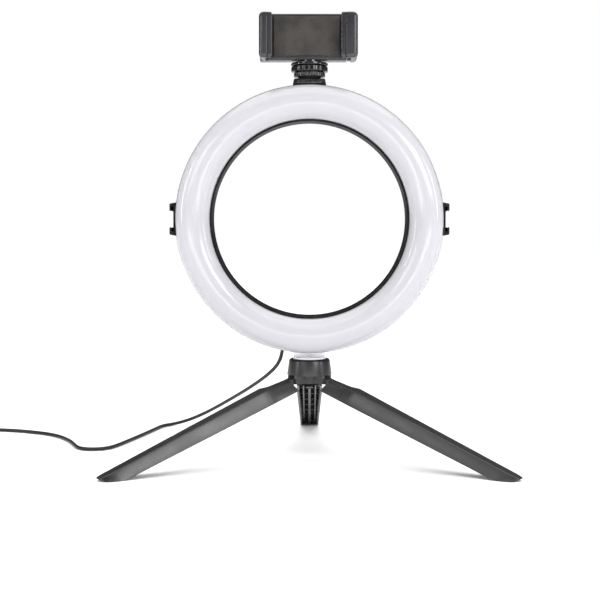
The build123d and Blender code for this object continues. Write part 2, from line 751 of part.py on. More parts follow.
with BuildPart() as usb_shell:
    with BuildSketch(Plane(origin=(plug_x, grip_end, plug_line), x_dir=(1, 0, 0), z_dir=(0, 1, 0))):
        RectangleRounded(12.0, 4.5, 0.6)
        RectangleRounded(11.4, 3.9, 0.4, mode=cut)
    extrude(amount=18.75)
keep(usb_shell, "usb_shell", on_lead=True)

with BuildPart() as usb_tongue:
    add(block((plug_x - 5.3, plug_x + 5.3), (grip_end, grip_end + 17.5), (plug_line - 1.8, plug_line)))
keep(usb_tongue, "usb_tongue", on_lead=True)

# ---- Writing the pieces -------------------------------------------------------------------------

# The shared origin is the middle of the light's own box on the table, without the lead.
boxes = [piece.part.bounding_box() for name, piece in pieces.items() if name not in lead_pieces]
front = min(box.min.Y for box in boxes)
back = max(box.max.Y for box in boxes)
to_origin = Pos(0, -(front + back) / 2, 0)
print("tripod axis at y", round(-(front + back) / 2, 3), "depth", round(back - front, 1))

for name, piece in pieces.items():
    piece.part = to_origin * piece.part
    piece.part.label = name
    export_step(piece.part, f"parts/{name}.step")
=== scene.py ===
import json
import math

import bmesh
import bpy
import numpy as np
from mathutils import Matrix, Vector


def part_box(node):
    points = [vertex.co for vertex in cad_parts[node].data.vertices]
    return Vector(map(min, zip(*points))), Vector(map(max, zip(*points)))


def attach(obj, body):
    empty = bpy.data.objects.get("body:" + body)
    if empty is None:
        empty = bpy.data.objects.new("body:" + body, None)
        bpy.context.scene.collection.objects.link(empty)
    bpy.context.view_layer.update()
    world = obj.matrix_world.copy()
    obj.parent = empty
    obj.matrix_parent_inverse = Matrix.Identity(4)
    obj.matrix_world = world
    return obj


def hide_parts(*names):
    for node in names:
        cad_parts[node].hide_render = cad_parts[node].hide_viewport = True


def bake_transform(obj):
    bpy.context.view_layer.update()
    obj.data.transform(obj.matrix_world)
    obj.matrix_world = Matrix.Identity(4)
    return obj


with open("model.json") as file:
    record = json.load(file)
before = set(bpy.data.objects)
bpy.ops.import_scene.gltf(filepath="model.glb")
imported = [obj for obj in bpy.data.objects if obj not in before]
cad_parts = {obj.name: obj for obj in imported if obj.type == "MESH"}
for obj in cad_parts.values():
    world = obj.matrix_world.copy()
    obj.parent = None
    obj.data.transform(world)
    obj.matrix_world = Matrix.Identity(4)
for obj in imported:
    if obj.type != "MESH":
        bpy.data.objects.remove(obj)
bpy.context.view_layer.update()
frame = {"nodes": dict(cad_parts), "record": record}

# A ring light on a folding desktop tripod, with a phone clamp on its top shoe.
# Shapes are worked out in millimetres from the tripod's axis, then put in the row frame in metres.
mm = 0.001
collarLow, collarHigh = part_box("hub_collar")
hubY = (collarLow.y + collarHigh.y) / 2
print("tripod axis at y", round(hubY, 5))


def unit(vectors):
    # Each vector over its own length.
    return vectors / np.maximum(np.linalg.norm(vectors, axis=-1, keepdims=True), 1e-12)


def gridFaces(rows, columns, wrapRows):
    # Four-sided faces between neighbouring points, row by row; every row closes on itself.
    r = np.arange(rows if wrapRows else rows - 1)[:, None]
    c = np.arange(columns)[None, :]
    nextR, nextC = (r + 1) % rows, (c + 1) % columns
    corners = [r * columns + c, r * columns + nextC, nextR * columns + nextC, nextR * columns + c]
    return np.stack(np.broadcast_arrays(*corners), -1).reshape(-1, 4).tolist()


def skin(points, wrapRows=False):
    # A grid of points (rows, columns, 3) as a surface, with a flat face on each open end.
    rows, columns = points.shape[:2]
    faces = gridFaces(rows, columns, wrapRows)
    if not wrapRows:
        first = np.arange(columns)
        faces += [first[::-1].tolist(), (first + (rows - 1) * columns).tolist()]
    return points.reshape(-1, 3), faces


def softCorners(corners, radii, steps=5):
    # A closed outline with an arc in each corner: the arc's centre lies on the corner's bisector,
    # radius / sin(half the corner) away, and its points turn evenly from one side to the other.
    p = np.asarray(corners, float)
    r = np.broadcast_to(np.asarray(radii, float), p.shape[:-1])[..., None]
    a, b = unit(np.roll(p, 1, -2) - p), unit(np.roll(p, -1, -2) - p)
    half = np.arccos(np.clip((a * b).sum(-1, keepdims=True), -1, 1)) / 2
    cut = r / np.maximum(np.tan(half), 1e-6)
    centre = p + unit(a + b) * r / np.maximum(np.sin(half), 1e-6)
    turn = np.maximum(math.pi - 2 * half, 1e-3)
    s = np.linspace(0, 1, steps)[:, None]
    first, last = (p + a * cut - centre)[..., None, :], (p + b * cut - centre)[..., None, :]
    turn = turn[..., None, :]
    arc = (np.sin((1 - s) * turn) * first + np.sin(s * turn) * last) / np.sin(turn)
    points = centre[..., None, :] + arc
    return points.reshape(*p.shape[:-2], -1, 2)


def turned(outline, centre=(0, 0), segments=128, dents=None):
    # Turned on an upright axis: x = radius cos t, y = radius sin t, z = height.
    # dents(t) is how far the widest radius is cut in at each angle.
    t = np.linspace(0, 2 * math.pi, segments, endpoint=False)
    radius, height = outline[:, 0][:, None], outline[:, 1][:, None]
    if dents is not None:
        limit = outline[:, 0].max() - dents(t)[None, :]
        radius = np.minimum(radius, limit)
    points = np.stack([centre[0] + radius * np.cos(t), centre[1] + radius * np.sin(t),
                       height + 0 * t], -1)
    return skin(points, wrapRows=True)


def aroundRing(outline):
    # Turned on the ring's own axis: x = radius cos t, z = centre + radius sin t, y = depth.
    t = np.linspace(0, 2 * math.pi, ring["segments"], endpoint=False)
    radius, depth = outline[:, 0][:, None], outline[:, 1][:, None]
    points = np.stack([radius * np.cos(t), depth + 0 * t, ring["centreZ"] + radius * np.sin(t)], -1)
    return skin(points, wrapRows=True)


def softBlock(x, y, z, rounding=0.6, steps=4):
    # A box with rounded edges: each direction of a sphere, scaled to the rounding,
    # is added to the corner of the smaller inner box that lies its way.
    low, high = np.array([x[0], y[0], z[0]], float), np.array([x[1], y[1], z[1]], float)
    middle, inner = (low + high) / 2, (high - low) / 2 - rounding
    quarter = np.linspace(0, math.pi / 2, steps)
    around = np.concatenate([quarter + k * math.pi / 2 for k in range(4)])
    signX = np.repeat([1, -1, -1, 1], steps)
    signY = np.repeat([1, 1, -1, -1], steps)
    rise = np.concatenate([quarter - math.pi / 2, quarter])[:, None]
    signZ = np.repeat([-1, 1], steps)[:, None]
    points = np.stack([signX * inner[0] + rounding * np.cos(rise) * np.cos(around),
                       signY * inner[1] + rounding * np.cos(rise) * np.sin(around),
                       signZ * inner[2] + rounding * np.sin(rise) + 0 * around], -1)
    return skin(middle + points)


def prism(outline, positions, insets):
    # One outline of (across, up) points carried along y. An inset moves every point that far
    # towards the outline's own inside, along its normal, which rounds the ends.
    side = unit(np.roll(outline, -1, 0) - np.roll(outline, 1, 0))
    inward = np.stack([-side[:, 1], side[:, 0]], -1)
    flat = outline + inward * np.asarray(insets)[:, None, None]
    y = np.asarray(positions)[:, None] + 0 * flat[..., 0]
    return skin(np.stack([flat[..., 0], y, flat[..., 1]], -1))


def tube(path, radius, sides, reference=(0.0, 0.0, 1.0)):
    # A circle carried along a path; its sides are squared to the reference, so it does not twist.
    along = unit(np.gradient(path, axis=0))
    level = unit(np.cross(along, reference))
    other = np.cross(level, along)
    t = np.linspace(0, 2 * math.pi, sides, endpoint=False)[None, :, None]
    return skin(path[:, None] + radius * (np.cos(t) * level[:, None] + np.sin(t) * other[:, None]))


def bar(start, end, outline, segments=64):
    # A round bar between two points from (radius, distance) pairs, about any axis.
    start, end = np.asarray(start, float), np.asarray(end, float)
    along = unit(end - start)
    side = unit(np.cross(along, [0.31, 0.17, 0.93]))
    other = np.cross(along, side)
    t = np.linspace(0, 2 * math.pi, segments, endpoint=False)[None, :, None]
    radius, distance = outline[:, 0][:, None, None], outline[:, 1][:, None, None]
    points = start + distance * along + radius * (np.cos(t) * side + np.sin(t) * other)
    return skin(points)


def roundBar(start, end, radius, edge=0.3):
    # A plain bar whose two rims are rounded: the outline turns a quarter circle at each end.
    length = np.linalg.norm(np.subtract(end, start))
    q = np.linspace(0, math.pi / 2, 5)
    first = np.stack([radius - edge + edge * np.sin(q), edge - edge * np.cos(q)], -1)
    last = np.stack([radius - edge + edge * np.cos(q), length - edge + edge * np.sin(q)], -1)
    return bar(start, end, np.concatenate([first, last]))


def changed(part, change):
    # The same faces on moved points.
    points, faces = part
    return change(points), faces


def turnAboutZ(degrees):
    c, s = math.cos(math.radians(degrees)), math.sin(math.radians(degrees))
    return lambda p: p @ np.array([[c, s, 0], [-s, c, 0], [0, 0, 1.0]])


def turnAboutRing(degrees):
    c, s = math.cos(math.radians(degrees)), math.sin(math.radians(degrees))
    centre = np.array([0, 0, ring["centreZ"]])
    return lambda p: (p - centre) @ np.array([[c, 0, -s], [0, 1, 0], [s, 0, c]]) + centre


def addObject(name, data):
    newObject = bpy.data.objects.new(name, data)
    bpy.context.scene.collection.objects.link(newObject)
    return newObject


def makePiece(name, parts, look, body, nodes, sharp=38):
    # Joins the parts in one mesh, puts it in the row frame and turns its faces outwards.
    points, faces, count = [], [], 0
    for partPoints, partFaces in parts:
        points.append(partPoints)
        faces += [[i + count for i in face] for face in partFaces]
        count += len(partPoints)
    placed = np.concatenate(points) * mm + np.array([0, hubY, 0])
    mesh = bpy.data.meshes.new(name)
    mesh.from_pydata(placed.tolist(), [], faces)
    work = bmesh.new()
    work.from_mesh(mesh)
    bmesh.ops.remove_doubles(work, verts=work.verts, dist=2e-6)
    bmesh.ops.dissolve_degenerate(work, edges=work.edges, dist=1e-6)
    bmesh.ops.recalc_face_normals(work, faces=work.faces)
    work.to_mesh(mesh)
    work.free()
    mesh.polygons.foreach_set("use_smooth", np.ones(len(mesh.polygons), bool))
    mesh.set_sharp_from_angle(angle=math.radians(sharp))
    mesh.materials.append(finish[look])
    piece = addObject(name, mesh)
    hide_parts(*nodes)
    if body:
        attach(piece, body)
    return piece


def nodeGroup(name, inputs, outputs):
    # A shader group with its own inputs and outputs, and the object's coordinates.
    group = bpy.data.node_groups.new(name, "ShaderNodeTree")
    for label, value in inputs.items():
        socket = group.interface.new_socket(label, in_out="INPUT", socket_type="NodeSocketFloat")
        socket.default_value = value
    for label in outputs:
        group.interface.new_socket(label, in_out="OUTPUT", socket_type="NodeSocketFloat")
    kinds = ("NodeGroupInput", "NodeGroupOutput", "ShaderNodeTexCoord")
    return group, *(group.nodes.new(kind) for kind in kinds)


def addNode(tree, kind, **values):
    node = tree.nodes.new(kind)
    for key, value in values.items():
        if key in node.inputs:
            node.inputs[key].default_value = value
        else:
            setattr(node, key, value)
    return node


def spread(tree, source, low, high):
    # A noise value stretched so that low becomes 0 and high becomes 1.
    ramp = addNode(tree, "ShaderNodeMapRange", **{"From Min": low, "From Max": high})
    tree.links.new(source, ramp.inputs["Value"])
    return ramp.outputs["Result"]


def combined(tree, operation, first, second):
    # A sum, a product and so on of two values; the second may be a fixed number.
    node = addNode(tree, "ShaderNodeMath", operation=operation)
    tree.links.new(first, node.inputs[0])
    if isinstance(second, bpy.types.NodeSocket):
        tree.links.new(second, node.inputs[1])
    else:
        node.inputs[1].default_value = second
    return node.outputs[0]


def objectNoise(tree, place, scale, detail, roughness=0.5):
    # Noise over the object's own coordinates.
    noise = addNode(tree, "ShaderNodeTexNoise", Detail=detail, Roughness=roughness)
    tree.links.new(place.outputs["Object"], noise.inputs["Vector"])
    tree.links.new(scale, noise.inputs["Scale"])
    return noise.outputs["Fac"]


def makeGrainGroup():
    # Fine spark-eroded texture of a mould: two sizes of noise as a height, and a slow drift of tone.
    sizes = {"Fine": 2600.0, "Slow": 28.0}
    group, given, out, place = nodeGroup("mouldGrain", sizes, ("Height", "Tone"))
    fine = objectNoise(group, place, given.outputs["Fine"], 2.0, 0.6)
    slow = objectNoise(group, place, given.outputs["Slow"], 3.0, 0.55)
    cells = addNode(group, "ShaderNodeTexVoronoi")
    group.links.new(place.outputs["Object"], cells.inputs["Vector"])
    group.links.new(given.outputs["Fine"], cells.inputs["Scale"])
    group.links.new(combined(group, "ADD", fine, cells.outputs["Distance"]), out.inputs["Height"])
    group.links.new(spread(group, slow, 0.36, 0.64), out.inputs["Tone"])
    return group


def makeWearGroup():
    # Rubbed edges: places that bulge, broken up by a patchy noise.
    group, given, out, place = nodeGroup("rubbedEdges", {"Start": 0.53, "Patches": 160.0}, ("Mask",))
    shape = addNode(group, "ShaderNodeNewGeometry")
    patches = objectNoise(group, place, given.outputs["Patches"], 4.0, 0.65)
    bulge = addNode(group, "ShaderNodeMapRange", **{"From Max": 0.62})
    group.links.new(shape.outputs["Pointiness"], bulge.inputs["Value"])
    group.links.new(given.outputs["Start"], bulge.inputs["From Min"])
    broken = combined(group, "MULTIPLY", bulge.outputs["Result"], spread(group, patches, 0.38, 0.62))
    group.links.new(broken, out.inputs["Mask"])
    return group


def makeDustGroup():
    # Settled dust: faces that look up, times specks and soft clouds.
    group, given, out, place = nodeGroup("settledDust", {"Specks": 900.0, "Clouds": 35.0}, ("Mask",))
    shape = addNode(group, "ShaderNodeNewGeometry")
    split = addNode(group, "ShaderNodeSeparateXYZ")
    group.links.new(shape.outputs["Normal"], split.inputs[0])
    specks = spread(group, objectNoise(group, place, given.outputs["Specks"], 2.0), 0.55, 0.72)
    clouds = spread(group, objectNoise(group, place, given.outputs["Clouds"], 2.0), 0.35, 0.65)
    upward = spread(group, split.outputs["Z"], 0.35, 1.0)
    speckled = combined(group, "MULTIPLY", upward, specks)
    group.links.new(combined(group, "MULTIPLY", speckled, clouds), out.inputs["Mask"])
    return group


def makeBrushGroup():
    # Fine lines of a turned or drawn metal part: noise squeezed hard along one axis.
    sizes = {"Lines": 4000.0, "Along": 60.0}
    group, given, out, place = nodeGroup("drawnLines", sizes, ("Height", "Tone"))
    split = addNode(group, "ShaderNodeSeparateXYZ")
    group.links.new(place.outputs["Object"], split.inputs[0])
    joined = addNode(group, "ShaderNodeCombineXYZ")
    for axis, label in (("X", "Along"), ("Y", "Along"), ("Z", "Lines")):
        scaled = combined(group, "MULTIPLY", split.outputs[axis], given.outputs[label])
        group.links.new(scaled, joined.inputs[axis])
    lines = addNode(group, "ShaderNodeTexNoise", Scale=1.0, Detail=3.0)
    group.links.new(joined.outputs[0], lines.inputs["Vector"])
    group.links.new(lines.outputs["Fac"], out.inputs["Height"])
    group.links.new(spread(group, lines.outputs["Fac"], 0.35, 0.65), out.inputs["Tone"])
    return group


def makeWeaveGroup():
    # A plain weave: the sines of two directions multiplied, with loose fibres over it.
    group, given, out, place = nodeGroup("strapWeave", {"Threads": 9000.0}, ("Height", "Tone"))
    split = addNode(group, "ShaderNodeSeparateXYZ")
    group.links.new(place.outputs["Object"], split.inputs[0])
    waves = []
    for axis in ("X", "Z"):
        wave = addNode(group, "ShaderNodeMath", operation="SINE")
        scaled = combined(group, "MULTIPLY", split.outputs[axis], given.outputs["Threads"])
        group.links.new(scaled, wave.inputs[0])
        waves.append(wave.outputs[0])
    fibres = addNode(group, "ShaderNodeTexNoise", Scale=3000.0, Detail=3.0)
    group.links.new(place.outputs["Object"], fibres.inputs["Vector"])
    height = combined(group, "ADD", combined(group, "MULTIPLY", *waves), fibres.outputs["Fac"])
    group.links.new(height, out.inputs["Height"])
    group.links.new(spread(group, height, -0.4, 1.4), out.inputs["Tone"])
    return group


grainGroup, wearGroup, dustGroup = makeGrainGroup(), makeWearGroup(), makeDustGroup()
brushGroup, weaveGroup = makeBrushGroup(), makeWeaveGroup()


def blendColours(tree, factor, first, second):
    # Mixes two colours; either may be a fixed colour or a socket.
    mix = addNode(tree, "ShaderNodeMix", data_type="RGBA")
    colourSockets = [s for s in mix.inputs if s.type == "RGBA"]
    for socket, value in zip(colourSockets, (first, second)):
        if isinstance(value, bpy.types.NodeSocket):
            tree.links.new(value, socket)
        else:
            socket.default_value = (*value, 1.0)
    tree.links.new(factor, mix.inputs[0])
    return next(s for s in mix.outputs if s.type == "RGBA")


dustColour = (0.55, 0.54, 0.52)


def makeFinish(name, look):
    # A finish from its dictionary: base and drift colours, worn edges, dust, roughness and bump.
    # One that names no pattern has the mould's grain.
    material = bpy.data.materials.new(name)
    material.use_nodes = True
    tree = material.node_tree
    shader = tree.nodes["Principled BSDF"]
    pattern = tree.nodes.new("ShaderNodeGroup")
    pattern.node_tree = {"grain": grainGroup, "brush": brushGroup, "weave": weaveGroup}[
        look.get("pattern", "grain")]
    for label, value in look.get("patternValues", {}).items():
        pattern.inputs[label].default_value = value
    colour = blendColours(tree, pattern.outputs["Tone"], look["colour"], look["drift"])
    if "worn" in look:
        wear = tree.nodes.new("ShaderNodeGroup")
        wear.node_tree = wearGroup
        wear.inputs["Start"].default_value = look.get("wearStart", 0.53)
        colour = blendColours(tree, wear.outputs["Mask"], colour, look["worn"])
    if "dust" in look:
        dust = tree.nodes.new("ShaderNodeGroup")
        dust.node_tree = dustGroup
        share = combined(tree, "MULTIPLY", dust.outputs["Mask"], look["dust"])
        colour = blendColours(tree, share, colour, dustColour)
    tree.links.new(colour, shader.inputs["Base Color"])
    rough = addNode(tree, "ShaderNodeMapRange", **dict(zip(("To Min", "To Max"), look["roughness"])))
    tree.links.new(pattern.outputs["Tone"], rough.inputs["Value"])
    tree.links.new(rough.outputs["Result"], shader.inputs["Roughness"])
    bump = addNode(tree, "ShaderNodeBump", Strength=look["bump"],
                   Distance=look.get("bumpDepth", 0.00005))
    tree.links.new(pattern.outputs["Height"], bump.inputs["Height"])
    tree.links.new(bump.outputs["Normal"], shader.inputs["Normal"])
    for label, value in look.get("shader", {}).items():
        shader.inputs[label].default_value = value
    return material


finishes = {
    "standPlastic": {
        "colour": (0.013, 0.0125, 0.0135), "drift": (0.019, 0.0185, 0.0195),
        "worn": (0.08, 0.08, 0.082), "dust": 0.08, "roughness": (0.24, 0.33), "bump": 0.16,
    },
    "shellPlastic": {
        "colour": (0.006, 0.006, 0.007), "drift": (0.010, 0.010, 0.011),
        "worn": (0.03, 0.03, 0.032), "dust": 0.05, "roughness": (0.42, 0.52), "bump": 0.10,
        "shader": {"Specular IOR Level": 0.04},
    },
    "wheelPlastic": {
        "colour": (0.006, 0.006, 0.007), "drift": (0.010, 0.010, 0.011),
        "worn": (0.05, 0.05, 0.052), "dust": 0.05, "roughness": (0.10, 0.17), "bump": 0.06,
        "shader": {"Specular IOR Level": 0.6},
    },
    "milkyPlastic": {
        "colour": (0.430, 0.426, 0.455), "drift": (0.442, 0.438, 0.467),
        "patternValues": {"Fine": 900.0, "Slow": 9.0}, "roughness": (0.10, 0.16), "bump": 0.02,
        "shader": {"Subsurface Weight": 0.35, "Subsurface Radius": (0.004, 0.004, 0.005),
                   "Subsurface Scale": 1.0, "Coat Weight": 0.2, "Coat Roughness": 0.05,
                   "Specular IOR Level": 0.3},
    },
    "whitePlasticPaintedGlow": {
        "colour": (0.93, 0.93, 0.96), "drift": (0.94, 0.94, 0.97),
        "worn": (0.95, 0.95, 0.95), "dust": 0.03, "roughness": (0.25, 0.34), "bump": 0.08,
        # The emission is painted light: the white neck glows faintly, lifting the shade it sits in under the
        # ring.
        "shader": {"Subsurface Weight": 0.3, "Subsurface Radius": (0.003, 0.003, 0.003),
                   "Subsurface Scale": 1.0, "Emission Color": (0.9, 0.9, 1.0, 1.0),
                   "Emission Strength": 0.14},
    },
    "clampPlastic": {
        "colour": (0.018, 0.0172, 0.0205), "drift": (0.026, 0.025, 0.029),
        "patternValues": {"Fine": 1900.0}, "worn": (0.07, 0.07, 0.078), "dust": 0.08,
        "roughness": (0.25, 0.33), "bump": 0.12,
    },
    "padRubber": {
        "colour": (0.016, 0.013, 0.0115), "drift": (0.038, 0.032, 0.028),
        "patternValues": {"Fine": 1100.0, "Slow": 90.0}, "dust": 0.2, "roughness": (0.55, 0.72),
        "bump": 0.6, "bumpDepth": 0.00012,
    },
    "cordJacket": {
        "colour": (0.010, 0.010, 0.011), "drift": (0.016, 0.016, 0.017),
        "patternValues": {"Fine": 1700.0, "Slow": 45.0}, "dust": 0.06, "roughness": (0.38, 0.50),
        "bump": 0.15, "shader": {"Specular IOR Level": 0.3},
    },
    "tieStrap": {
        "pattern": "weave", "colour": (0.010, 0.010, 0.011), "drift": (0.035, 0.035, 0.037),
        "roughness": (0.80, 0.95), "bump": 0.8, "bumpDepth": 0.0002,
    },
    "buttonPlastic": {
        "colour": (0.055, 0.056, 0.060), "drift": (0.075, 0.076, 0.080),
        "worn": (0.2, 0.2, 0.2), "roughness": (0.40, 0.50), "bump": 0.12,
    },
    "steel": {
        "pattern": "brush", "colour": (0.52, 0.52, 0.53), "drift": (0.64, 0.64, 0.65),
        "roughness": (0.20, 0.34), "bump": 0.12, "shader": {"Metallic": 1.0},
    },
    "blackSteel": {
        "pattern": "brush", "colour": (0.030, 0.030, 0.032), "drift": (0.055, 0.055, 0.058),
        "worn": (0.30, 0.29, 0.28), "roughness": (0.18, 0.30), "bump": 0.10,
        "shader": {"Metallic": 0.7},
    },
    "springSteel": {
        "pattern": "brush", "colour": (0.38, 0.38, 0.40), "drift": (0.50, 0.50, 0.52),
        "roughness": (0.25, 0.38), "bump": 0.1, "shader": {"Metallic": 1.0},
    },
    "brass": {
        "pattern": "brush", "colour": (0.62, 0.46, 0.20), "drift": (0.74, 0.57, 0.28),
        "roughness": (0.22, 0.36), "bump": 0.12, "shader": {"Metallic": 1.0},
    },
    "boardMask": {
        "colour": (0.74, 0.75, 0.74), "drift": (0.80, 0.80, 0.79),
        "patternValues": {"Fine": 3200.0, "Slow": 70.0}, "roughness": (0.30, 0.42), "bump": 0.10,
    },
    "warmChip": {
        "colour": (0.82, 0.58, 0.10), "drift": (0.88, 0.66, 0.16),
        "patternValues": {"Fine": 4200.0, "Slow": 300.0}, "roughness": (0.25, 0.40), "bump": 0.10,
    },
    "coolChip": {
        "colour": (0.80, 0.76, 0.30), "drift": (0.86, 0.83, 0.42),
        "patternValues": {"Fine": 4200.0, "Slow": 300.0}, "roughness": (0.25, 0.40), "bump": 0.10,
    },
    "wireJacket": {
        "colour": (0.45, 0.02, 0.02), "drift": (0.55, 0.04, 0.03),
        "patternValues": {"Slow": 200.0}, "roughness": (0.40, 0.50), "bump": 0.1,
    },
    "plugInsulator": {
        "colour": (0.80, 0.80, 0.78), "drift": (0.86, 0.86, 0.84),
        "patternValues": {"Slow": 120.0}, "roughness": (0.42, 0.52), "bump": 0.08,
    },
}
finish = {name: makeFinish(name, look) for name, look in finishes.items()}

finishOfSlot = {
    "stand_plastic": "standPlastic", "shell_plastic": "shellPlastic", "milky_plastic": "milkyPlastic",
    "white_plastic": "whitePlasticPaintedGlow", "steel": "steel", "spring_steel": "springSteel", "brass": "brass",
    "board": "boardMask", "warm_chip": "warmChip", "cool_chip": "coolChip",
    "clamp_plastic": "clampPlastic", "pad_rubber": "padRubber", "cord_jacket": "cordJacket",
    "tie_strap": "tieStrap", "button_plastic": "buttonPlastic", "wire": "wireJacket",
    "plug_insulator": "plugInsulator",
}
finishOfNode = {"leg_pins": "blackSteel", "clamp_screws": "blackSteel"}  # where a node differs
slotOfNode = {}
for entry in frame["record"]["subparts"]:
    slotOfNode[entry["node"]] = entry["material_slot"]
for node, cadPiece in frame["nodes"].items():
    for cadSlot in cadPiece.material_slots:
        cadSlot.material = finish[finishOfNode.get(node, finishOfSlot[slotOfNode[node]])]
print("finishes made:", len(finish))


ring = {
    "centreZ": 181.3,
    "crownRadius": 86.6,  # middle of the light's own band
    "halfWidth": 12.7,
    "seamY": -20.0,
    "depth": 11.0,
    "wall": 1.6,
    "segments": 288,
}


def diffuserOutline(shape):
    # Half an ellipse out and a smaller half ellipse back: radius = middle + half width cos t,
    # depth = seam - depth sin t, with a wall between the two.
    t = np.linspace(0, math.pi, 61)
    outer = np.stack([shape["crownRadius"] + shape["halfWidth"] * np.cos(t),
                      shape["seamY"] - shape["depth"] * np.sin(t)], -1)
    inner = np.stack([shape["crownRadius"] + (shape["halfWidth"] - shape["wall"]) * np.cos(t[::-1]),
                      shape["seamY"] - (shape["depth"] - shape["wall"]) * np.sin(t[::-1])], -1)
    return np.concatenate([outer, inner])


makePiece("ringDiffuser", [aroundRing(diffuserOutline(ring))], "milkyPlastic", "head",
          ["diffuser"], sharp=60)

shoe = {
    "back": -3.0, "length": 17.0, "wall": 1.5, "height": 4.0, "footHalf": 12.2, "topHalf": 11.3,
    "slotHalf": 9.3, "gapHalf": 6.25, "floor": 1.0, "slotHeight": 2.0, "ringRadius": 99.52,
}


def shoeOutline(shape, slotted):
    # A channel with two lips, whose feet reach down to the ring's curve.
    h, f, foot = shape["height"], shape["floor"], shape["footHalf"]
    s, g, lip = shape["slotHalf"], shape["gapHalf"], f + shape["slotHeight"]
    footHeight = math.sqrt(shape["ringRadius"]**2 - foot**2) - shape["ringRadius"]
    slot = [(-s, lip), (-s, f), (s, f), (s, lip)] if slotted else []
    corners = [(foot, footHeight), (-foot, footHeight), (-shape["topHalf"], h), (-g, h), (-g, lip)]
    corners += slot + [(g, lip), (g, h), (shape["topHalf"], h)]
    radii = [0.1, 0.1, 0.9, 0.25] + [0.2] * (len(slot) + 2) + [0.25, 0.9]
    return softCorners(corners, radii, 4)


def shoeParts(shape):
    # The slotted channel runs from the front to the stop wall, and the stop wall closes it.
    wallFront = shape["back"] - shape["wall"]
    front = shape["back"] - shape["length"]
    rise = ring["centreZ"] + 99.5
    stretches = [(True, front, wallFront + 0.05, 0.0), (False, wallFront, shape["back"], 0.2)]
    parts = []
    for slotted, start, end, endInset in stretches:
        part = prism(shoeOutline(shape, slotted), [start, start + 0.25, end - 0.25, end],
                     [0.2, 0.0, 0.0, endInset])
        parts.append(changed(part, lambda p: p + np.array([0, 0, rise])))
    return parts


for side, degrees in (("Top", 0), ("Left", -90), ("Right", 90)):
    moved = [changed(part, turnAboutRing(degrees)) for part in shoeParts(shoe)]
    makePiece("shoe" + side, moved, "shellPlastic", "head",
              ["shoe_" + side.lower()], sharp=30)
print("ring head made")


neckSizes = {
    "tiltY": 6.0, "tiltZ": 88.5, "barrel": 6.0, "half": 12.35, "depth": 4.5, "plugRadius": 12.35,
    "plugLow": 72.9, "plugHigh": 77.3, "bore": 6.5, "lidLow": 76.4, "lidRadius": 6.8, "lidThick": 0.85,
    "spigotRadius": 6.0, "spigotLow": 66.5, "spigotHigh": 74.0, "postLow": 76.2,
}


def neckParts(shape):
    # A turned plug in the collar with its lid and spigot, a flat post, and a barrel across its top.
    low, high, bore = shape["plugLow"], shape["plugHigh"], shape["bore"]
    plug = softCorners([(bore, low), (shape["plugRadius"], low), (shape["plugRadius"], high), (bore, high)],
                       [0.2, 0.3, 0.8, 0.1])
    lidOutline = np.array([[shape["lidRadius"], 0.0], [shape["lidRadius"], shape["lidThick"]]])
    lid = bar((0, 0, shape["lidLow"]), (0, 0, high), lidOutline)
    spigot = roundBar((0, 0, shape["spigotLow"]), (0, 0, shape["spigotHigh"]), shape["spigotRadius"])
    y, z, half, depth = shape["tiltY"], shape["tiltZ"], shape["half"], shape["depth"]
    post = softBlock((-half, half), (y - depth, y + depth), (shape["postLow"], z), 0.9, 6)
    return [turned(plug), lid, spigot, post, roundBar((-half, y, z), (half, y, z), shape["barrel"], 0.4)]


makePiece("neckPost", neckParts(neckSizes), "whitePlasticPaintedGlow", "neck", ["neck"])

collar = {
    "outline": [(10.0, 63.8), (17.0, 63.8), (15.25, 76.0), (12.75, 76.0), (12.75, 72.0), (6.1, 72.0),
                (6.1, 66.2), (10.0, 66.2)],
    "rounding": [0.15, 0.35, 2.2, 0.3, 0.2, 0.1, 0.1, 0.1],
}
collarOutline = softCorners(collar["outline"], collar["rounding"], 8)
makePiece("hubCollar", [turned(collarOutline, segments=192)], "standPlastic",
          "hub", ["hub_collar"])

threadSizes = {
    "bottom": 281.9, "top": 304.7, "radius": 3.1, "depth": 0.42, "pitch": 1.27, "rowStep": 0.13,
    "taper": 0.5, "chamfer": 0.35,
}


def threadedBar(shape, centreY):
    # A quarter-inch thread: the radius dips by the depth once a pitch, and the dip climbs with t.
    bottom, top = shape["bottom"], shape["top"]
    z = np.linspace(bottom, top, int((top - bottom) / shape["rowStep"]))[:, None]
    t = np.linspace(0, 2 * math.pi, 40, endpoint=False)[None, :]
    dip = 0.5 + 0.5 * np.cos(2 * math.pi * z / shape["pitch"] - t)
    taper = np.clip(np.minimum(z - bottom, top - z) / shape["taper"], 0, 1)
    radius = shape["radius"] - shape["chamfer"] * (1 - taper) - shape["depth"] * dip**1.5
    points = np.stack([radius * np.cos(t), centreY + radius * np.sin(t), z + 0 * t], -1)
    return skin(points)


